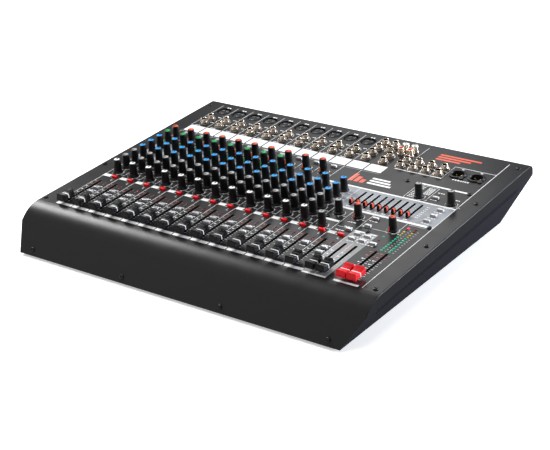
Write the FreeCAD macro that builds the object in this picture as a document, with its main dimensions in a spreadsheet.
import FreeCAD, Part
import math
import os

import Sketcher
from FreeCAD import Placement, Rotation, Vector

# Analogue mixing console with eighteen faders, as wide as a 19 inch rack, standing on four feet.
# +X is the operator's right, +Y points to the rear and +Z up. The origin is on the desk, in the
# middle of the console's width and depth. Lengths are in millimetres.
#
# The control panel slopes up to the rear. Everything on it is built in the panel's own frame:
# x across, y to the rear, z out of the panel, with z = 0 on the panel's top surface. Places on it
# are counted in strips: "across" from the line left of channel 1, "down" from the rear of the
# channel lines. One strip is one channel's width.

document = FreeCAD.newDocument("MixingConsole")

DIMENSIONS = [
    ("strip", 25.4, "width of one channel"),
    ("case_width", 480.4, "outside width of the case"),
    ("panel_middle", 8.43, "strips from the left channel line to the middle of the case"),
    ("tilt", 2.8, "slope of the panel, degrees"),
    ("sheet_steel", 1.5, "thickness of the case"),
    ("bend_radius", 40.5, "outside radius of the front bend"),
    ("bend_angle", 47.6, "turn of the front bend, degrees"),
    ("front_length", 38.8, "length of the flat front face"),
    ("bend_down", 13.37, "strips down to the start of the front bend"),
    ("rear_corner", 8.5, "radius of the rear top corner"),
    ("rear_edge", 15.0, "y of the rear face"),
    ("side_inset", 16.5, "how far the lower sides lean in"),
    ("undercut_reach", 54.0, "how far the rear undercut runs forward"),
    ("foot_height", 3.0, "height of the rubber feet"),
    ("foot_radius", 8.0, "radius of the rubber feet"),
    ("fader_travel", 60.0, "travel of a fader"),
    ("slider_travel", 30.0, "travel of an equaliser slider"),
    ("button_travel", 1.2, "travel of a push button"),
    ("knob_height", 18.2, "top of a knob above the panel"),
    ("knob_base", 6.2, "radius of a knob's skirt"),
    ("knob_top", 4.3, "radius of a knob's top"),
    ("knob_gap", 0.8, "gap under a knob"),
    ("shaft_radius", 3.0, "radius of a control shaft"),
    ("running", 0.05, "radial clearance of a turning shaft"),
    ("control_depth", 12.0, "panel surface to the control board"),
    ("connector_depth", 24.0, "panel surface to the connector board"),
    ("board", 1.6, "thickness of a circuit board"),
    ("jack_bore", 3.25, "radius of a quarter inch jack's bore"),
]

sheet = document.addObject("Spreadsheet::Sheet", "Sizes")
for row, (alias, value, note) in enumerate(DIMENSIONS, start=1):
    sheet.set(f"A{row}", alias)
    sheet.set(f"B{row}", str(value))
    sheet.set(f"C{row}", note)
    sheet.setAlias(f"B{row}", alias)
document.recompute()


def size(alias):
    """The value of one cell of the sheet."""
    return float(sheet.get(alias))


STRIP = size("strip")
STEEL = size("sheet_steel")
HALF = size("case_width") / 2
BOARD = size("board")
UP = Vector(0, 0, 1)


def on_panel(across, down, z=0.0):
    """A point of the panel frame, from strips across and strips down."""
    return Vector((across - size("panel_middle")) * STRIP, -down * STRIP, z)


# ---------------------------------------------------------------------------------------------
# Where the controls and sockets stand, in strips
# ---------------------------------------------------------------------------------------------
MIC_CHANNELS = range(10)
KNOB_CHANNELS = range(12)
FADER_CHANNELS = range(14)
COMPRESSOR_CHANNELS = range(8)

KNOB_ACROSS = 0.46
KNOB_FIRST_DOWN = 4.66
KNOB_STEP_DOWN = 0.655
KNOB_ROWS = [
    ("gain", MIC_CHANNELS),
    ("compressor", COMPRESSOR_CHANNELS),
    ("treble", KNOB_CHANNELS),
    ("middle", KNOB_CHANNELS),
    ("bass", KNOB_CHANNELS),
    ("monitor_send", KNOB_CHANNELS),
    ("effect_send", KNOB_CHANNELS),
    ("pan", KNOB_CHANNELS),
]
MASTER_KNOBS = {
    "effect_select_knob": (14.85, 4.98),
    "effect_level_knob": (16.55, 5.03),
    "aux_return_knob": (12.5, 8.04),
    "stereo_return_knob": (12.47, 9.38),
    "phones_knob": (13.48, 8.0),
    "monitor_knob": (15.52, 8.43),
}

FADER_REST_DOWN = 12.85
CHANNEL_FADER_ACROSS = 0.33
GROUP_FADERS = [14.33, 14.87]
MAIN_FADERS = [15.87, 16.39]

SLIDER_COUNT = 9
SLIDER_FIRST_ACROSS = 12.47
SLIDER_STEP_ACROSS = 0.37
SLIDER_REST_DOWN = 6.98

MUTE_ACROSS = 0.725
MUTE_DOWN = 9.82
CHANNEL_BUTTONS = (
    [(i + 0.62, 3.98) for i in MIC_CHANNELS]
    + [(i + 0.74, 11.15) for i in FADER_CHANNELS]
    + [(i + 0.74, 11.60) for i in FADER_CHANNELS if i != 12]
)
MASTER_BUTTONS = [
    (15.63, 4.79),
    (16.42, 5.80),
    (16.41, 6.41),
    (16.38, 6.98),
    (13.77, 9.25),
    (14.30, 7.84),
    (14.35, 8.58),
    (14.34, 9.44),
    (14.87, 9.46),
    (14.33, 9.90),
    (14.86, 9.91),
    (15.42, 9.93),
]

METER_COLUMNS = [16.0, 16.385]
METER_DOWN = 8.1
METER_STEP = 0.19
METER_LIGHTS = 12
STATUS_LIGHTS = [
    (15.6, 4.45),
    (13.3, 8.5),
    (15.44, 9.47),
    (15.44, 9.09),
    (16.02, 7.93),
    (16.38, 7.93),
]
LIGHTS = (
    [(i + 0.76, down) for i in FADER_CHANNELS for down in (10.51, 10.69)]
    + [(across, METER_DOWN + METER_STEP * k) for across in METER_COLUMNS for k in range(METER_LIGHTS)]
    + STATUS_LIGHTS
)

XLR_INPUTS = [(i + 0.5, 0.63) for i in MIC_CHANNELS]
XLR_OUTPUTS = [(15.30, 2.08), (16.27, 2.08)]
CHANNEL_JACKS = [(i + 0.53, down) for i in MIC_CHANNELS for down in (1.82, 2.44)]
AUX_JACKS = [
    (10.47, 0.56),
    (10.47, 1.18),
    (10.47, 1.80),
    (10.47, 2.42),
    (11.06, 0.56),
    (11.06, 1.18),
    (11.46, 1.80),
    (11.46, 2.46),
]
OUTPUT_JACKS = [(12.42 + 0.685 * k, down) for k in range(4) for down in (1.84, 2.49)]
JACKS = CHANNEL_JACKS + AUX_JACKS + OUTPUT_JACKS
PHONOS = [(across, down) for down in (0.74, 1.24) for across in (11.74, 12.235)]

LEFT_SCREWS = [(-0.8, down) for down in (0.2, 4.5, 8.8, 13.05)]
RIGHT_SCREWS = [(17.5, down) for down in (0.25, 4.45, 9.0, 13.15)]
SIDE_SCREWS = LEFT_SCREWS + RIGHT_SCREWS
BOARD_SCREWS = [(13.54, 3.74), (16.79, 3.74), (16.79, 7.47), (12.2, 8.5), (14.63, 9.07)]
FRONT_SCREWS = [-207.0, -69.0, 69.0, 207.0]


def channel_knob_places():
    """Name, place and channel number of every knob in the channel strips."""
    places = []
    for row, (name, channels) in enumerate(KNOB_ROWS):
        for channel in channels:
            where = (channel + KNOB_ACROSS, KNOB_FIRST_DOWN + row * KNOB_STEP_DOWN)
            places.append((name, where, channel + 1))
    return places


# ---------------------------------------------------------------------------------------------
# Helpers
# ---------------------------------------------------------------------------------------------
nodes = {}


def keep(item, name, placement=None):
    """Make a document object a sub-part of the console under the given name."""
    item.Label = name
    if placement is not None:
        item.Placement = placement
    nodes[name] = item
    return item


def feature(name, shape, placement=None):
    """A sub-part whose shape is worked out here, in the panel frame unless a placement is given."""
    item = document.addObject("Part::Feature", name + "_shape")
    item.Shape = shape
    return keep(item, name, placement or PANEL)


def boolean(kind, name, base, tool):
    """A Part::Cut or Part::Common of two objects."""
    item = document.addObject("Part::" + kind, name)
    item.Base = base
    item.Tool = tool
    return item


def fuse(name, items):
    """A Part::MultiFuse of several objects."""
    item = document.addObject("Part::MultiFuse", name)
    item.Shapes = items
    return item


def copies(shape, points):
    """Separate copies of one solid at the points given."""
    result = []
    for point in points:
        copy = shape.copy()
        copy.Placement = Placement(point, Rotation()).multiply(copy.Placement)
        result.append(copy)
    return result


def block(length, width, height, centre):
    """A box centred on a point in x and y, standing on the point's z."""
    corner = Vector(centre.x - length / 2, centre.y - width / 2, centre.z)
    return Part.makeBox(length, width, height, corner)


def centred_box(name, length, width, low, top):
    """A Part::Box centred on the z axis, between two heights."""
    box = document.addObject("Part::Box", name)
    box.Length = length
    box.Width = width
    box.Height = top - low
    box.Placement = Placement(Vector(-length / 2, -width / 2, low), Rotation())
    return box


def slot_tool(width, length, centre, top, depth):
    """A round-ended cutter, long in y, that reaches depth below top."""
    radius = width / 2
    straight = length - width
    middle = block(width, straight, depth, Vector(centre.x, centre.y, top - depth))
    ends = [
        Part.makeCylinder(radius, depth, Vector(centre.x, centre.y + side * straight / 2, top - depth))
        for side in (-1, 1)
    ]
    return middle.fuse(ends)


def revolved(name, outline, bindings):
    """A PartDesign body turned about z from (radius, height) points, some bound to the sheet."""
    body = document.addObject("PartDesign::Body", name)
    sketch = body.newObject("Sketcher::SketchObject", name + "_outline")
    plane = next(f for f in body.Origin.OriginFeatures if f.Role == "XZ_Plane")
    sketch.AttachmentSupport = [(plane, "")]
    sketch.MapMode = "FlatFace"
    count = len(outline)
    for k, point in enumerate(outline):
        after = outline[(k + 1) % count]
        sketch.addGeometry(Part.LineSegment(Vector(*point, 0), Vector(*after, 0)))
    for k in range(count):
        sketch.addConstraint(Sketcher.Constraint("Coincident", k, 2, (k + 1) % count, 1))
    for k, point in enumerate(outline):
        for axis, value in zip(("DistanceX", "DistanceY"), point):
            index = sketch.addConstraint(Sketcher.Constraint(axis, -1, 1, k, 1, value))
            if (k, axis) in bindings:
                sketch.setExpression(f"Constraints[{index}]", bindings[k, axis])
    turn = body.newObject("PartDesign::Revolution", name + "_turn")
    turn.Profile = sketch
    turn.ReferenceAxis = (sketch, ["V_Axis"])
    turn.Angle = 360
    sketch.Visibility = False
    document.recompute()
    return body


# ---------------------------------------------------------------------------------------------
# Case
# ---------------------------------------------------------------------------------------------
def case_outline(inset):
    """The console's side outline in the panel frame, moved inwards by inset, as named points.

    It runs from the front bottom edge up the front face, round the bend, along the panel and
    round the rear corner to the rear face.
    """
    turn = math.radians(size("bend_angle"))
    radius = size("bend_radius")
    bend_start = -size("bend_down") * STRIP
    centre = Vector(0, bend_start, -radius)
    inner = radius - inset

    def on_bend(angle):
        return centre + Vector(0, -inner * math.sin(angle), inner * math.cos(angle))

    along_front = Vector(0, -math.cos(turn), -math.sin(turn))
    bend_end = on_bend(turn)
    front_low = bend_end + along_front * size("front_length")
    corner = size("rear_corner")
    corner_centre = Vector(0, size("rear_edge") - corner, -corner)
    corner_inner = corner - inset
    rear_top = corner_centre + Vector(0, 0, corner_inner)
    halfway = corner_inner * math.sin(math.pi / 4)
    rear_mid = corner_centre + Vector(0, halfway, halfway)
    rear_side = corner_centre + Vector(0, corner_inner, 0)
    return {
        "front_low": front_low,
        "bend_end": bend_end,
        "bend_mid": on_bend(turn / 2),
        "bend_start": on_bend(0),
        "rear_top": rear_top,
        "rear_mid": rear_mid,
        "rear_side": rear_side,
    }


OUTER = case_outline(0.0)
INNER = case_outline(STEEL)
FOLD = OUTER["bend_end"].z
UNDERCUT_TOP = Vector(0, size("rear_edge"), FOLD - 1.5)


def on_base(y):
    """The point of the case's flat bottom at a y of the panel frame."""
    low = OUTER["front_low"]
    slope = math.tan(math.radians(size("tilt")))
    return Vector(0, y, low.z - (y - low.y) * slope)


def panel_placement():
    """The panel frame in the row frame: the case stands on its feet, centred front to rear."""
    turn = Rotation(Vector(1, 0, 0), size("tilt"))
    front = turn.multVec(OUTER["front_low"])
    rear = turn.multVec(UNDERCUT_TOP)
    return Placement(Vector(0, -(front.y + rear.y) / 2, size("foot_height") - front.z), turn)


PANEL = panel_placement()
UNDERCUT_LOW = on_base(UNDERCUT_TOP.y - size("undercut_reach"))
UNDERCUT = UNDERCUT_LOW - UNDERCUT_TOP
UNDERCUT_IN = Vector(0, UNDERCUT.z, -UNDERCUT.y).normalize()
LIP_SHARE = 0.26
GAP_SHARE = 0.50
ENTRY_SHARE = 0.745


def extruded(wire, width):
    """A closed outline of the y-z plane, thickened evenly to both sides of x = 0."""
    face = Part.Face(wire)
    face.translate(Vector(-width / 2, 0, 0))
    return face.extrude(Vector(width, 0, 0))


def closed(edges):
    return Part.Wire(Part.__sortEdges__(edges))


def line(start, end):
    return Part.LineSegment(start, end).toShape()


def arc(start, middle, end):
    return Part.Arc(start, middle, end).toShape()


def cover_skin():
    """The bent sheet of the top: front face, bend, panel, rear corner and rear lip."""
    lip_out = UNDERCUT_TOP + UNDERCUT * LIP_SHARE
    lip_in = lip_out + UNDERCUT_IN * STEEL
    inner_side = Vector(0, INNER["rear_side"].y, UNDERCUT_TOP.z)
    edges = [
        line(OUTER["front_low"], OUTER["bend_end"]),
        arc(OUTER["bend_end"], OUTER["bend_mid"], OUTER["bend_start"]),
        line(OUTER["bend_start"], OUTER["rear_top"]),
        arc(OUTER["rear_top"], OUTER["rear_mid"], OUTER["rear_side"]),
        line(OUTER["rear_side"], UNDERCUT_TOP),
        line(UNDERCUT_TOP, lip_out),
        line(lip_out, lip_in),
        line(lip_in, inner_side),
        line(inner_side, INNER["rear_side"]),
        arc(INNER["rear_side"], INNER["rear_mid"], INNER["rear_top"]),
        line(INNER["rear_top"], INNER["bend_start"]),
        arc(INNER["bend_start"], INNER["bend_mid"], INNER["bend_end"]),
        line(INNER["bend_end"], INNER["front_low"]),
        line(INNER["front_low"], OUTER["front_low"]),
    ]
    return extruded(closed(edges), 2 * HALF)


def side_band():
    """One side band, from the panel down to the fold, as thick as the sheet."""
    front = OUTER["bend_end"]
    rear = Vector(0, size("rear_edge"), FOLD)
    edges = [
        line(rear, front),
        arc(front, OUTER["bend_mid"], OUTER["bend_start"]),
        line(OUTER["bend_start"], OUTER["rear_top"]),
        arc(OUTER["rear_top"], OUTER["rear_mid"], OUTER["rear_side"]),
        line(OUTER["rear_side"], rear),
    ]
    return extruded(closed(edges), STEEL)


def lower_core(inset):
    """The space between the leaning lower sides, longer than the case at both ends.

    Each side runs straight from the fold to the bottom edge, so it is a ruled surface.
    """
    reach = 0.12
    top_front = OUTER["bend_end"].y
    top_rear = size("rear_edge")
    low_front = OUTER["front_low"].y
    low_rear = UNDERCUT_LOW.y

    def ends(front, rear):
        spare = (rear - front) * reach
        return front - spare, rear + spare

    def loop(front, rear, half, point_at):
        corners = [(-half, front), (half, front), (half, rear), (-half, rear)]
        return Part.makePolygon([point_at(x, y) for x, y in corners + corners[:1]])

    y0, y1 = ends(top_front, top_rear)
    top = loop(y0, y1, HALF - inset, lambda x, y: Vector(x, y, FOLD))
    y0, y1 = ends(low_front, low_rear)
    low_half = HALF - size("side_inset") - inset

    def on_low(x, y):
        base = on_base(y)
        return Vector(x, base.y, base.z)

    low = loop(y0, y1, low_half, on_low)
    return Part.makeLoft([top, low], True, True)


def round_holes(places, radius):
    """Cutters for round panel holes."""
    return [Part.makeCylinder(radius, 4 * STEEL, on_panel(*p, -3 * STEEL)) for p in places]


def square_holes(places, length, width):
    """Cutters for oblong panel holes."""
    return [block(length, width, 4 * STEEL, on_panel(*p, -3 * STEEL)) for p in places]


XLR_COLLAR = 10.3
JACK_THREAD = 4.3
PHONO_BARREL = 4.15
LIGHT_RADIUS = 1.5
BUSH_RADIUS = 3.6
MUTE_SIZE = (8.2, 4.2)
BUTTON_SIZE = (8.4, 4.4)
HOLE_GAP = 0.25
SCREW_SHANK = 1.5
FADER_TONGUE = (1.0, 4.2)
FADER_SLOT = 1.9
SLIDER_TONGUE = (0.9, 2.2)
SLIDER_SLOT = 1.5


def fader_slots():
    """Places of the fader slots' middles, in the panel frame."""
    across = [i + CHANNEL_FADER_ACROSS for i in FADER_CHANNELS] + GROUP_FADERS + MAIN_FADERS
    middle = size("fader_travel") / 2
    return [on_panel(a, FADER_REST_DOWN) + Vector(0, middle, 0) for a in across]


def slider_slots():
    """Places of the equaliser slots' middles, in the panel frame."""
    across = [SLIDER_FIRST_ACROSS + SLIDER_STEP_ACROSS * k for k in range(SLIDER_COUNT)]
    middle = size("slider_travel") / 2
    return [on_panel(a, SLIDER_REST_DOWN) + Vector(0, middle, 0) for a in across]


FADER_SLOT_LENGTH = size("fader_travel") + FADER_TONGUE[1] + 1.0
SLIDER_SLOT_LENGTH = size("slider_travel") + SLIDER_TONGUE[1] + 5.0


def panel_cutters():
    """Every hole and slot of the control panel."""
    knobs = [where for _, where, _ in channel_knob_places()] + list(MASTER_KNOBS.values())
    mutes = [(i + MUTE_ACROSS, MUTE_DOWN) for i in FADER_CHANNELS]
    cutters = round_holes(XLR_INPUTS + XLR_OUTPUTS, XLR_COLLAR + HOLE_GAP)
    cutters += round_holes(JACKS, JACK_THREAD + 0.1)
    cutters += round_holes(PHONOS, PHONO_BARREL + HOLE_GAP)
    cutters += round_holes(LIGHTS, LIGHT_RADIUS + 0.1)
    cutters += round_holes(knobs, BUSH_RADIUS + 0.1)
    cutters += round_holes(SIDE_SCREWS + BOARD_SCREWS, SCREW_SHANK + 0.1)
    cutters += square_holes(mutes, MUTE_SIZE[0] + 2 * HOLE_GAP, MUTE_SIZE[1] + 2 * HOLE_GAP)
    buttons = CHANNEL_BUTTONS + MASTER_BUTTONS
    cutters += square_holes(buttons, BUTTON_SIZE[0] + 2 * HOLE_GAP, BUTTON_SIZE[1] + 2 * HOLE_GAP)
    for centre in fader_slots():
        cutters.append(slot_tool(FADER_SLOT, FADER_SLOT_LENGTH, centre, STEEL, 3 * STEEL))
    for centre in slider_slots():
        cutters.append(slot_tool(SLIDER_SLOT, SLIDER_SLOT_LENGTH, centre, STEEL, 3 * STEEL))
    return cutters


EDGE_ROUND = 1.2
SCREW_RISE = 7.0
FRONT_TURN = math.radians(size("bend_angle"))
FRONT_OUT = Vector(0, -math.sin(FRONT_TURN), math.cos(FRONT_TURN))
FRONT_DOWN = Vector(0, -math.cos(FRONT_TURN), -math.sin(FRONT_TURN))


def front_screw_point(x):
    """Where a screw enters the front face, near its bottom edge."""
    return OUTER["front_low"] - FRONT_DOWN * SCREW_RISE + Vector(x, 0, 0)


def side_edges(cover):
    """The cover's outer edges along the panel at the left and right."""
    edges = []
    for edge in cover.Edges:
        box = edge.BoundBox
        at_side = box.XLength < 0.01 and abs(abs(box.XMin) - HALF) < 0.01
        if at_side and abs(box.ZMin) < 0.01 and abs(box.ZMax) < 0.01 and box.YLength > STRIP:
            edges.append(edge)
    return edges


def make_top_cover():
    """Folded steel top: panel, front bend and face, side bands and rear lip in one piece."""
    skin = cover_skin()
    below = Part.makeBox(4 * HALF, 1000, 100, Vector(-2 * HALF, -700, FOLD - 100))
    skin = skin.cut(below.cut(lower_core(0.0)))
    bands = []
    for side in (-1, 1):
        band = side_band()
        band.translate(Vector(side * (HALF - STEEL / 2), 0, 0))
        bands.append(band)
    cover = skin.fuse(bands).removeSplitter()
    cover = cover.makeFillet(EDGE_ROUND, side_edges(cover))
    cutters = panel_cutters()
    for x in FRONT_SCREWS:
        start = front_screw_point(x) + FRONT_OUT * STEEL
        cutters.append(Part.makeCylinder(SCREW_SHANK + 0.1, 3 * STEEL, start, -FRONT_OUT))
    cover = cover.cut(Part.makeCompound(cutters))
    return feature("top_cover", cover.Solids[0])


VENT_COUNT = 48
VENT_SIZE = (2.2, 9.0)
VENT_FIRST = -26.0
VENT_STEP = 6.7


def cross(start, direction, lift):
    """The point where a line of the y-z plane meets the case's bottom, raised by lift."""
    low = OUTER["front_low"]
    slope = math.tan(math.radians(size("tilt")))
    level = low.z + lift + (low.y - start.y) * slope - start.z
    reach = level / (direction.z + direction.y * slope)
    return start + direction * reach


def pan_block(inset, lift, top):
    """A solid between the pan's front, bottom and rear planes, up to a height."""
    down = Vector(UNDERCUT).normalize()
    front_start = INNER["bend_end"] - FRONT_OUT * inset
    rear_start = UNDERCUT_TOP + UNDERCUT_IN * inset
    front_low = cross(front_start, FRONT_DOWN, lift)
    rear_low = cross(rear_start, down, lift)
    front_top = front_low - FRONT_DOWN * ((top - front_low.z) / -FRONT_DOWN.z)
    rear_top = rear_low - down * ((top - rear_low.z) / -down.z)
    edges = [
        line(front_top, front_low),
        line(front_low, rear_low),
        line(rear_low, rear_top),
        line(rear_top, front_top),
    ]
    return extruded(closed(edges), 2 * HALF)


FLANGE_HEIGHT = 16.0
ENTRY_X = 150.0
ENTRY_CUT = (50.4, 20.4)


def rear_place(x, share):
    """A frame on the rear undercut: its y runs up the wall and its z points out of the case."""
    origin = UNDERCUT_TOP + UNDERCUT * share + Vector(x, 0, 0)
    out = UNDERCUT_IN * -1
    up = Vector(UNDERCUT).normalize() * -1
    return Placement(origin, Rotation(up.cross(out), up, out, "ZXY"))


def make_base_pan():
    """Folded steel base: floor, leaning vented sides, rear wall and front flange."""
    outer = pan_block(0.0, 0.0, FOLD).common(lower_core(0.0))
    inner = pan_block(STEEL, STEEL, FOLD + 1).common(lower_core(STEEL))
    pan = outer.cut(inner).cut(cover_skin())
    # The wall behind the front face is only a flange, and the rear wall stops below the gap.
    flange_top = OUTER["front_low"].z + FLANGE_HEIGHT
    front_corner = Vector(-2 * HALF, OUTER["front_low"].y - 10, flange_top)
    front_open = Part.makeBox(4 * HALF, 80, 60, front_corner)
    front_open = front_open.common(pan_block(-1, 0, FOLD + 2)).common(lower_core(STEEL))
    rear_edge = UNDERCUT_TOP + UNDERCUT * GAP_SHARE
    rear_open = Part.makeBox(4 * HALF, 120, 60, Vector(-2 * HALF, rear_edge.y - 20, rear_edge.z))
    rear_open = rear_open.common(lower_core(STEEL))
    cutters = [front_open, rear_open]
    for side in (-1, 1):
        for k in range(VENT_COUNT):
            y = VENT_FIRST - k * VENT_STEP
            centre = Vector(side * (HALF - 3.0), y, FOLD - 3.0 - VENT_SIZE[1])
            cutters.append(block(14.0, VENT_SIZE[0], VENT_SIZE[1], centre))
    for x in FRONT_SCREWS:
        start = front_screw_point(x)
        cutters.append(Part.makeCylinder(SCREW_SHANK, 5 * STEEL, start, -FRONT_OUT))
    hole = block(ENTRY_CUT[0], ENTRY_CUT[1], 12, Vector(0, 0, -6))
    hole.Placement = rear_place(ENTRY_X, ENTRY_SHARE).multiply(hole.Placement)
    cutters.append(hole)
    pan = pan.cut(Part.makeCompound(cutters))
    return feature("base_pan", pan.Solids[0])


make_top_cover()
make_base_pan()


# ---------------------------------------------------------------------------------------------
# Inside the case
# ---------------------------------------------------------------------------------------------
BRACKET_THICK = 1.4
BRACKET_LEG = 15.0
BRACKET_ENDS = (-336.0, -6.0)
CONTROL_TOP = -size("control_depth")
CONNECTOR_TOP = -size("connector_depth")


def make_side_brackets():
    """Two angle brackets inside the side bands, which the panel's edge screws go into."""
    front, rear = BRACKET_ENDS
    brackets = []
    for side, places in ((-1, LEFT_SCREWS), (1, RIGHT_SCREWS)):
        wall = side * (HALF - STEEL)
        low = FOLD + 0.8
        upright = Part.makeBox(BRACKET_THICK, rear - front, -STEEL - low, Vector(wall, front, low))
        ledge = Part.makeBox(BRACKET_LEG, rear - front, BRACKET_THICK)
        if side > 0:
            upright.translate(Vector(-BRACKET_THICK, 0, 0))
            ledge.translate(Vector(wall - BRACKET_LEG, front, -STEEL - BRACKET_THICK))
        else:
            ledge.translate(Vector(wall, front, -STEEL - BRACKET_THICK))
        holes = [Part.makeCylinder(SCREW_SHANK, 20, on_panel(*p, -15)) for p in places]
        brackets.append(upright.fuse(ledge).cut(Part.makeCompound(holes)).removeSplitter())
    return feature("side_brackets", Part.makeCompound(brackets))


def make_rear_vent_plate():
    """Slotted plate behind the gap between the cover's rear lip and the base pan."""
    top, low = 0.20, 0.57
    span = UNDERCUT.Length * (low - top)
    plate = block(452.0, span, 1.2, Vector(0, 0, -1.2 - STEEL))
    slots = [
        slot_tool(3.0, 11.0, Vector(-209 + 11.0 * k, 1.0, 0), -STEEL + 1, 4) for k in range(39)
    ]
    plate = plate.cut(Part.makeCompound(slots))
    return feature("rear_vent_plate", plate, PANEL.multiply(rear_place(0, (top + low) / 2)))


def board_box(name, across, down, top):
    """A circuit board between two places of the panel, its upper face at a given z."""
    item = document.addObject("Part::Box", name + "_box")
    corner = on_panel(across[0], down[1], top - BOARD)
    item.setExpression("Length", f"Sizes.strip * {across[1] - across[0]}")
    item.setExpression("Width", f"Sizes.strip * {down[1] - down[0]}")
    item.setExpression("Height", "Sizes.board")
    return keep(item, name, PANEL.multiply(Placement(corner, Rotation())))


def make_standoffs():
    """Threaded spacers that hang the control board from the panel."""
    item = document.addObject("Part::Cylinder", "standoff_blank")
    item.Radius = 3.0
    item.setExpression("Height", "Sizes.control_depth - Sizes.sheet_steel")
    item.Placement = Placement(Vector(0, 0, CONTROL_TOP), Rotation())
    bore = document.addObject("Part::Cylinder", "standoff_bore")
    bore.Radius = SCREW_SHANK
    bore.Height = 9.0
    bore.Placement = Placement(Vector(0, 0, -9.0), Rotation())
    standoff = boolean("Cut", "standoff", item, bore)
    document.recompute()
    group = copies(standoff.Shape, [on_panel(*p) for p in BOARD_SCREWS])
    return feature("standoffs", Part.makeCompound(group))


POT_SIZE = (9.8, 10.8)
POT_TOP = -5.5
SHAFT_END = -6.0


def make_pot_bodies():
    """Potentiometers on the control board, each with a bush that its shaft turns in."""
    case = centred_box("pot_case", *POT_SIZE, CONTROL_TOP, POT_TOP)
    case.setExpression("Height", f"Sizes.control_depth + {POT_TOP}")
    bush = document.addObject("Part::Cylinder", "pot_bush")
    bush.Radius = BUSH_RADIUS
    bush.Height = -POT_TOP - 0.3
    bush.Placement = Placement(Vector(0, 0, POT_TOP), Rotation())
    bore = document.addObject("Part::Cylinder", "pot_bore")
    bore.setExpression("Radius", "Sizes.shaft_radius + Sizes.running")
    bore.Height = 8.0
    bore.Placement = Placement(Vector(0, 0, SHAFT_END - 0.5), Rotation())
    pot = boolean("Cut", "pot", fuse("pot_blank", [case, bush]), bore)
    document.recompute()
    places = [where for _, where, _ in channel_knob_places()] + list(MASTER_KNOBS.values())
    pots = copies(pot.Shape, [on_panel(*p) for p in places])
    return feature("pot_bodies", Part.makeCompound(pots))


def knob_body():
    """A control knob with its skirt and shaft, turned from one outline."""
    base, top = size("knob_base"), size("knob_top")
    gap, height = size("knob_gap"), size("knob_height")
    shaft = size("shaft_radius")
    outline = [
        (0.0, SHAFT_END),
        (shaft, SHAFT_END),
        (shaft, gap),
        (base, gap),
        (base, gap + 1.0),
        (base - 1.1, gap + 2.8),
        (top, height),
        (0.0, height),
    ]
    bindings = {
        (1, "DistanceX"): "Sizes.shaft_radius",
        (2, "DistanceX"): "Sizes.shaft_radius",
        (2, "DistanceY"): "Sizes.knob_gap",
        (3, "DistanceX"): "Sizes.knob_base",
        (3, "DistanceY"): "Sizes.knob_gap",
        (4, "DistanceX"): "Sizes.knob_base",
        (6, "DistanceX"): "Sizes.knob_top",
        (6, "DistanceY"): "Sizes.knob_height",
        (7, "DistanceY"): "Sizes.knob_height",
    }
    return revolved("knob", outline, bindings)


def make_knobs():
    """Knobs of channel 1 and of the master section each turn; the others are one group."""
    shape = knob_body().Shape
    group = []
    for name, where, channel in channel_knob_places():
        if channel == 1:
            placement = PANEL.multiply(Placement(on_panel(*where), Rotation()))
            feature(f"channel_1_{name}_knob", shape.copy(), placement)
        else:
            group.extend(copies(shape, [on_panel(*where)]))
    feature("channel_knobs", Part.makeCompound(group))
    for name, where in MASTER_KNOBS.items():
        feature(name, shape.copy(), PANEL.multiply(Placement(on_panel(*where), Rotation())))


# ---------------------------------------------------------------------------------------------
# Faders and equaliser sliders
# ---------------------------------------------------------------------------------------------
CAP_LENGTH = 20.5
CAP_CROWN = 18.6
CAP_BOTTOM = 4.7
CAP_TOP = 12.8
CAP_SADDLE = 9.5
CAP_WIDTH = 11.0
MAIN_CAP_WIDTH = 12.4
CARRIAGE = (5.4, 7.0, 2.8)
CARRIAGE_LOW = -10.6
SLIDER_CARRIAGE = (3.6, 4.0, 2.0)
CARRIAGE_GAP = 0.3
TRACK_TOP = -1.9
CAVITY_TOP = -7.2


def slide_cap(name, width, length, crown, bottom, top, saddle):
    """A cap with a finger saddle, padded from its side outline; crown is its length on top."""
    body = document.addObject("PartDesign::Body", name)
    sketch = body.newObject("Sketcher::SketchObject", name + "_side")
    plane = next(f for f in body.Origin.OriginFeatures if f.Role == "YZ_Plane")
    sketch.AttachmentSupport = [(plane, "")]
    sketch.MapMode = "FlatFace"
    corners = [
        Vector(-length / 2, bottom, 0),
        Vector(length / 2, bottom, 0),
        Vector(crown / 2, top, 0),
        Vector(-crown / 2, top, 0),
    ]
    for start, end in ((0, 1), (1, 2), (3, 0)):
        sketch.addGeometry(Part.LineSegment(corners[start], corners[end]))
    sketch.addGeometry(Part.Arc(corners[2], Vector(0, saddle, 0), corners[3]))
    pad = body.newObject("PartDesign::Pad", name + "_pad")
    pad.Profile = sketch
    pad.Midplane = True
    pad.Length = width
    sketch.Visibility = False
    document.recompute()
    return body


def moving_slide(name, cap, tongue, tongue_low, tongue_top, carriage, carriage_low):
    """A cap, the tongue that goes through the slot and the wiper carriage, as one piece."""
    length, width, height = carriage
    blade = centred_box(name + "_blade", *tongue, tongue_low, tongue_top)
    shoe = centred_box(name + "_shoe", length, width, carriage_low, carriage_low + height)
    whole = fuse(name, [cap, blade, shoe])
    document.recompute()
    return whole


def track(name, width, length, cavity, slot):
    """A slide control's housing: a box with a cavity for the carriage and a slot for the tongue."""
    housing = centred_box(name + "_housing", width, length, CONTROL_TOP, TRACK_TOP)
    hollow = centred_box(name + "_hollow", *cavity, CONTROL_TOP + 1.0, CAVITY_TOP)
    opening = centred_box(name + "_opening", *slot, CAVITY_TOP, TRACK_TOP + 1.0)
    whole = boolean("Cut", name, housing, fuse(name + "_inside", [hollow, opening]))
    document.recompute()
    return whole


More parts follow.
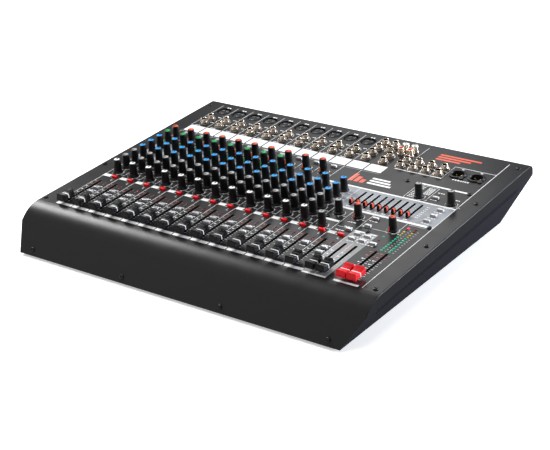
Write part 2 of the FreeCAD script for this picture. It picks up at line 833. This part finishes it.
def make_faders():
    """Channel, group and main faders, each a piece of its own, and the housings they run in."""
    cap_heights = (CAP_BOTTOM, CAP_TOP, CAP_SADDLE)
    cap = slide_cap("fader_cap", CAP_WIDTH, CAP_LENGTH, CAP_CROWN, *cap_heights)
    wide_cap = slide_cap("main_cap", MAIN_CAP_WIDTH, CAP_LENGTH, CAP_CROWN, *cap_heights)
    tongue = (FADER_TONGUE, CARRIAGE_LOW + 1.0, CAP_BOTTOM + 1.5)
    fader = moving_slide("fader", cap, *tongue, CARRIAGE, CARRIAGE_LOW)
    main = moving_slide("main_fader", wide_cap, *tongue, CARRIAGE, CARRIAGE_LOW)

    def place(shape, name, across):
        placement = PANEL.multiply(Placement(on_panel(across, FADER_REST_DOWN), Rotation()))
        feature(name, shape.Shape.copy(), placement)

    for i in FADER_CHANNELS:
        place(fader, f"channel_fader_{i + 1:02d}", i + CHANNEL_FADER_ACROSS)
    for side, across in zip(("left", "right"), GROUP_FADERS):
        place(fader, f"group_fader_{side}", across)
    for side, across in zip(("left", "right"), MAIN_FADERS):
        place(main, f"main_fader_{side}", across)

    slider_cap = slide_cap("slider_cap", 3.2, 7.0, 5.4, 1.5, 7.3, 6.5)
    slider = moving_slide("slider", slider_cap, SLIDER_TONGUE, -9.0, 2.4, SLIDER_CARRIAGE, -10.0)
    middle = Vector(0, size("slider_travel") / 2, 0)
    points = [centre - middle for centre in slider_slots()]
    feature("equaliser_sliders", Part.makeCompound(copies(slider.Shape, points)))

    def cavity(carriage, travel):
        return carriage[0] + 2 * CARRIAGE_GAP, travel + carriage[1] + 2 * CARRIAGE_GAP

    long_cavity = cavity(CARRIAGE, size("fader_travel"))
    long_track = track("fader_track", 9.0, 70.0, long_cavity, (FADER_SLOT, FADER_SLOT_LENGTH))
    short_cavity = cavity(SLIDER_CARRIAGE, size("slider_travel"))
    short_slot = (SLIDER_SLOT, SLIDER_SLOT_LENGTH)
    short_track = track("slider_track", 7.0, 46.0, short_cavity, short_slot)
    tracks = copies(long_track.Shape, fader_slots()) + copies(short_track.Shape, slider_slots())
    feature("slide_control_bodies", Part.makeCompound(tracks))


# ---------------------------------------------------------------------------------------------
# Push buttons
# ---------------------------------------------------------------------------------------------
PLUNGER = 2.8
PLUNGER_LOW = -7.5
CAP_LOW = -3.2
MUTE_TOP = 3.0
BUTTON_TOP = 2.8
BUTTON_BEVEL = 0.6
SWITCH_WIDTH = 7.2
SWITCH_TOP = -6.0


def push_button(name, cap_size, top):
    """A button cap on its plunger."""
    cap = centred_box(name + "_cap", *cap_size, CAP_LOW, top)
    stem = centred_box(name + "_stem", PLUNGER, PLUNGER, PLUNGER_LOW, CAP_LOW)
    whole = fuse(name, [cap, stem])
    document.recompute()
    softened = document.addObject("Part::Chamfer", name + "_softened")
    softened.Base = whole
    top_edges = [
        k
        for k, edge in enumerate(whole.Shape.Edges, start=1)
        if all(abs(v.Point.z - top) < 0.01 for v in edge.Vertexes)
    ]
    softened.Edges = [(k, BUTTON_BEVEL, BUTTON_BEVEL) for k in top_edges]
    document.recompute()
    return softened


def make_buttons():
    """Three groups of push buttons and the switches under them."""
    mutes = [on_panel(i + MUTE_ACROSS, MUTE_DOWN) for i in FADER_CHANNELS]
    channel = [on_panel(*p) for p in CHANNEL_BUTTONS]
    masters = [on_panel(*p) for p in MASTER_BUTTONS]
    mute = push_button("mute_button", MUTE_SIZE, MUTE_TOP)
    small = push_button("small_button", BUTTON_SIZE, BUTTON_TOP)
    feature("mute_buttons", Part.makeCompound(copies(mute.Shape, mutes)))
    feature("channel_buttons", Part.makeCompound(copies(small.Shape, channel)))
    feature("master_buttons", Part.makeCompound(copies(small.Shape, masters)))
    case = centred_box("switch_case", SWITCH_WIDTH, SWITCH_WIDTH, CONTROL_TOP, SWITCH_TOP)
    case.setExpression("Height", f"Sizes.control_depth + {SWITCH_TOP}")
    clear = PLUNGER + 0.4
    well = centred_box("switch_well", clear, clear, -10.0, -5.0)
    switch = boolean("Cut", "switch", case, well)
    document.recompute()
    feature("switch_bodies", Part.makeCompound(copies(switch.Shape, mutes + channel + masters)))


def make_panel_lights():
    """Signal lights, the level meters' two rows and the status lights, on their spacers."""
    light = document.addObject("Part::Cylinder", "light_blank")
    light.Radius = LIGHT_RADIUS
    light.setExpression("Height", "Sizes.control_depth + 0.7")
    light.Placement = Placement(Vector(0, 0, CONTROL_TOP), Rotation())
    document.recompute()
    domed = document.addObject("Part::Fillet", "light")
    domed.Base = light
    rim = [k for k, e in enumerate(light.Shape.Edges, start=1) if e.BoundBox.ZMin > 0]
    domed.Edges = [(k, 0.7, 0.7) for k in rim]
    document.recompute()
    feature("panel_lights", Part.makeCompound(copies(domed.Shape, [on_panel(*p) for p in LIGHTS])))


# ---------------------------------------------------------------------------------------------
# Sockets
# ---------------------------------------------------------------------------------------------
def cylinder(name, radius, low, top, x=0.0, y=0.0):
    """An upright Part::Cylinder between two heights."""
    item = document.addObject("Part::Cylinder", name)
    item.Radius = radius
    item.Height = top - low
    item.Placement = Placement(Vector(x, y, low), Rotation())
    return item


XLR_PINS = [(3.4, 3.4), (-3.4, 3.4), (0.0, -4.8)]
XLR_BODY = 11.4
XLR_FLOOR = -12.5
XLR_RING = 9.55
XLR_INSERT = 7.8
XLR_OUTPUT_TOP = 1.6


def make_xlr_inputs():
    """Ten microphone inputs: a closed body, the tube in front of it, a round insert and a latch."""
    body = cylinder("xlr_body", XLR_BODY, CONNECTOR_TOP, XLR_FLOOR)
    case = cylinder("xlr_case", XLR_BODY, XLR_FLOOR, -STEEL)
    collar = cylinder("xlr_collar", XLR_COLLAR, -STEEL, 0.6)
    cavity = cylinder("xlr_cavity", XLR_RING, XLR_FLOOR - 1.0, 2.0)
    tube = boolean("Cut", "xlr_tube", fuse("xlr_outside", [case, collar]), cavity)
    insert = cylinder("xlr_insert", XLR_INSERT, XLR_FLOOR, -0.5)
    document.recompute()
    latch = block(5.0, 1.2, 11.0, Vector(0, 8.65, XLR_FLOOR))
    points = [on_panel(*p) for p in XLR_INPUTS]
    solids = []
    for shape in (body.Shape, tube.Shape, insert.Shape, latch):
        solids += copies(shape, points)
    feature("xlr_inputs", Part.makeCompound(solids))


def make_xlr_outputs():
    """Two outputs: a flanged body with a round hollow, and three pins standing in it."""
    body = cylinder("xlr_out_body", XLR_COLLAR, CONNECTOR_TOP, 0.0)
    flange = cylinder("xlr_out_flange", 11.2, 0.0, XLR_OUTPUT_TOP)
    ears = [
        cylinder(f"xlr_out_ear_{k}", 3.0, 0.0, XLR_OUTPUT_TOP, side * 8.6, -side * 8.6)
        for k, side in enumerate((-1, 1))
    ]
    hollow = cylinder("xlr_out_hollow", 7.95, XLR_FLOOR, 3.0)
    plug = boolean("Cut", "xlr_out", fuse("xlr_out_outside", [body, flange] + ears), hollow)
    pins = [
        cylinder(f"xlr_pin_{k}", 1.2, XLR_FLOOR, -1.6, x, y) for k, (x, y) in enumerate(XLR_PINS)
    ]
    document.recompute()
    points = [on_panel(*p) for p in XLR_OUTPUTS]
    solids = []
    for item in [plug] + pins:
        solids += copies(item.Shape, points)
    feature("xlr_outputs", Part.makeCompound(solids))


JACK_BODY = 12.4
JACK_FLOOR = -20.0
WASHER_TOP = 0.7
JACK_TOP = 7.0
NUT_TOP = 3.6


def make_jack_sockets():
    """Quarter inch jacks with a threaded bush through the panel, and their hexagon nuts."""
    case = centred_box("jack_case", JACK_BODY, JACK_BODY, CONNECTOR_TOP, -STEEL)
    case.setExpression("Height", "Sizes.connector_depth - Sizes.sheet_steel")
    bush = cylinder("jack_bush", JACK_THREAD, -STEEL, JACK_TOP)
    bore = cylinder("jack_bore", 1.0, JACK_FLOOR, JACK_TOP + 1)
    bore.setExpression("Radius", "Sizes.jack_bore")
    jack = boolean("Cut", "jack", fuse("jack_outside", [case, bush]), bore)
    document.recompute()
    points = [on_panel(*p) for p in JACKS]
    feature("jack_sockets", Part.makeCompound(copies(jack.Shape, points)))

    washer = cylinder("nut_washer", 6.6, 0.0, WASHER_TOP)
    prism = document.addObject("Part::Prism", "nut_prism")
    prism.Polygon = 6
    prism.Circumradius = 6.5
    prism.Height = NUT_TOP - WASHER_TOP
    prism.Placement = Placement(Vector(0, 0, WASHER_TOP), Rotation(UP, 15))
    hole = cylinder("nut_hole", JACK_THREAD, -1.0, NUT_TOP + 1)
    nut = boolean("Cut", "nut", fuse("nut_outside", [washer, prism]), hole)
    document.recompute()
    feature("jack_nuts", Part.makeCompound(copies(nut.Shape, points)))


PHONO_BODY = 11.4
PHONO_TOP = 9.0
PHONO_LEDGE = 5.0
PHONO_MOUTH = 3.3
PHONO_PIN = 1.7


def make_phono_sockets():
    """Four phono sockets: a barrel over a block, with an insulating ring in its mouth."""
    case = centred_box("phono_case", PHONO_BODY, PHONO_BODY, CONNECTOR_TOP, -STEEL)
    case.setExpression("Height", "Sizes.connector_depth - Sizes.sheet_steel")
    barrel = cylinder("phono_barrel", PHONO_BARREL, -STEEL, PHONO_TOP)
    mouth = cylinder("phono_mouth", PHONO_MOUTH, PHONO_LEDGE, PHONO_TOP + 1)
    pin_hole = cylinder("phono_pin_hole", PHONO_PIN, -6.0, PHONO_TOP + 1)
    outside = fuse("phono_outside", [case, barrel])
    phono = boolean("Cut", "phono", outside, fuse("phono_inside", [mouth, pin_hole]))
    ring_blank = cylinder("ring_blank", PHONO_MOUTH, PHONO_LEDGE, PHONO_TOP - 0.4)
    ring_hole = cylinder("ring_hole", PHONO_PIN, PHONO_LEDGE - 1, PHONO_TOP + 1)
    ring = boolean("Cut", "phono_ring", ring_blank, ring_hole)
    document.recompute()
    points = [on_panel(*p) for p in PHONOS]
    solids = copies(phono.Shape, points) + copies(ring.Shape, points)
    feature("phono_sockets", Part.makeCompound(solids))


# ---------------------------------------------------------------------------------------------
# Fasteners, feet and power
# ---------------------------------------------------------------------------------------------
def make_case_screws():
    """Black pan head screws: panel edge, board hangers and front face."""
    head = cylinder("screw_head", 2.9, 0.0, 1.6)
    shank = cylinder("screw_shank", SCREW_SHANK, -6.0, 0.0)
    whole = fuse("screw_blank", [head, shank])
    document.recompute()
    rounded = document.addObject("Part::Fillet", "screw")
    rounded.Base = whole
    rim = [k for k, e in enumerate(whole.Shape.Edges, start=1) if e.BoundBox.ZMin > 1.0]
    rounded.Edges = [(k, 0.9, 0.9) for k in rim]
    document.recompute()
    screws = copies(rounded.Shape, [on_panel(*p) for p in SIDE_SCREWS + BOARD_SCREWS])
    lean = Rotation(UP, FRONT_OUT)
    for x in FRONT_SCREWS:
        screw = rounded.Shape.copy()
        screw.Placement = Placement(front_screw_point(x), lean).multiply(screw.Placement)
        screws.append(screw)
    feature("case_screws", Part.makeCompound(screws))


FEET = [(-195.0, -168.0), (195.0, -168.0), (-195.0, 122.0), (195.0, 122.0)]


def make_rubber_feet():
    """Four rubber feet under the base pan."""
    foot = document.addObject("Part::Cylinder", "foot")
    foot.setExpression("Radius", "Sizes.foot_radius")
    foot.setExpression("Height", "Sizes.foot_height")
    document.recompute()
    group = copies(foot.Shape, [Vector(x, y, 0) for x, y in FEET])
    feature("rubber_feet", Part.makeCompound(group), Placement())


ENTRY_FLANGE = (56.0, 24.4, 2.0)
ENTRY_BODY = (50.0, 20.0, 17.0)
INLET_X = -9.5
INLET_DEPTH = 14.0
ROCKER_X = 14.5
ENTRY_WELLS = [(INLET_X, 24.4, 16.4, INLET_DEPTH), (ROCKER_X, 10.0, 17.4, 9.0)]
ROCKER_PIVOT = -2.0
ROCKER_REST_TILT = 8.0


def entry_layer(length, width, height, low):
    """One layer of the housing: posts beside its two wells and rails along them."""
    blocks = []
    edges = [-length / 2]
    for middle, well_length, well_width, _ in ENTRY_WELLS:
        edges += [middle - well_length / 2, middle + well_length / 2]
        rail = (width - well_width) / 2
        for side in (-1, 1):
            place = Vector(middle, side * (well_width + rail) / 2, low)
            blocks.append(block(well_length, rail, height, place))
    edges.append(length / 2)
    for left, right in zip(edges[::2], edges[1::2]):
        blocks.append(block(right - left, width, height, Vector((left + right) / 2, 0, low)))
    return blocks


def make_power_entry():
    """Mains inlet and switch housing made of touching blocks, its contact blades, and the rocker."""
    bottom = -ENTRY_BODY[2]
    housing = entry_layer(*ENTRY_FLANGE, 0.0) + entry_layer(*ENTRY_BODY, bottom)
    for middle, well_length, well_width, depth in ENTRY_WELLS:
        floor = -bottom - depth
        housing.append(block(well_length, well_width, floor, Vector(middle, 0, bottom)))
    contacts = [
        block(2.0, 4.0, 10.5, Vector(INLET_X + dx, dy, -INLET_DEPTH))
        for dx, dy in ((-7.0, -2.0), (0.0, 2.2), (7.0, -2.0))
    ]
    place = PANEL.multiply(rear_place(ENTRY_X, ENTRY_SHARE))
    feature("power_entry", Part.makeCompound(housing + contacts), place)

    outline = [(-7.7, -5.0), (7.7, -5.0), (7.7, 1.6), (0.0, 3.0), (-7.7, 1.6)]
    points = [Vector(-4.7, y, z) for y, z in outline]
    rocker = Part.Face(Part.makePolygon(points + points[:1])).extrude(Vector(9.4, 0, 0))
    rocker.rotate(Vector(0, 0, ROCKER_PIVOT), Vector(1, 0, 0), ROCKER_REST_TILT)
    feature("power_rocker", rocker, place.multiply(Placement(Vector(ROCKER_X, 0, 0), Rotation())))


def make_power_supply():
    """Mains transformer and the supply board with its smoothing capacitors and heat sink."""
    floor = size("foot_height") + STEEL
    core = block(62.0, 22.0, 34.0, Vector(150, -20, floor))
    bobbin = block(40.0, 46.0, 26.0, Vector(150, -20, floor + 4.0))
    plate = block(78.0, 26.0, 1.5, Vector(150, -20, floor))
    feature("transformer", core.fuse([bobbin, plate]).removeSplitter(), Placement())

    middle = Vector(40, 20, floor)
    spacers = [
        Part.makeCylinder(3, 5, middle + Vector(sx * 52, sy * 32, 0)) for sx in (-1, 1) for sy in (-1, 1)
    ]
    board = block(120.0, 80.0, BOARD, middle + Vector(0, 0, 5))
    top = middle + Vector(0, 0, 5 + BOARD)
    cans = [Part.makeCylinder(8, 22, top + Vector(-40 + 20 * k, 18, 0)) for k in range(4)]
    sink = block(70.0, 3.0, 20.0, top + Vector(0, -20, 0))
    fins = [block(2.0, 14.0, 20.0, top + Vector(-32 + 8 * k, -20, 0)) for k in range(9)]
    supply = spacers + [board] + cans + [sink.fuse(fins).removeSplitter()]
    feature("power_board", Part.makeCompound(supply), Placement())


def make_ribbon_cables():
    """Flat cables from the connector board's underside round to the control board's."""
    thick = 1.0
    drop = 7.0
    under = CONNECTOR_TOP - BOARD
    over = CONTROL_TOP - BOARD
    rear, front = -2.75 * STRIP, -3.9 * STRIP
    outline = [
        (rear, under),
        (rear, under - drop),
        (front, under - drop),
        (front, over),
        (front + thick, over),
        (front + thick, under - drop + thick),
        (rear - thick, under - drop + thick),
        (rear - thick, under),
    ]
    cables = []
    for across in (3.0, 8.0, 13.0):
        x = on_panel(across, 0).x - 15
        points = [Vector(x, y, z) for y, z in outline]
        cables.append(Part.Face(Part.makePolygon(points + points[:1])).extrude(Vector(30, 0, 0)))
    feature("ribbon_cables", Part.makeCompound(cables))


make_side_brackets()
make_rear_vent_plate()
board_box("control_board", (-0.15, 16.95), (3.4, 13.4), CONTROL_TOP)
board_box("connector_board", (-0.15, 16.95), (0.12, 3.15), CONNECTOR_TOP)
make_standoffs()
make_pot_bodies()
make_knobs()
make_faders()
make_buttons()
make_panel_lights()
make_xlr_inputs()
make_xlr_outputs()
make_jack_sockets()
make_phono_sockets()
make_case_screws()
make_rubber_feet()
make_power_entry()
make_power_supply()
make_ribbon_cables()

document.recompute()

failed = [item.Name for item in document.Objects if {"Invalid", "Error"} & set(item.State)]
for name, item in nodes.items():
    if item.Shape.isNull() or not item.Shape.isValid() or not item.Shape.Solids:
        failed.append(name)
if failed:
    raise SystemExit("failed: " + ", ".join(failed))

os.makedirs("parts", exist_ok=True)
for name, item in nodes.items():
    item.Shape.exportStep(f"parts/{name}.step")
print(len(nodes), "sub-parts")
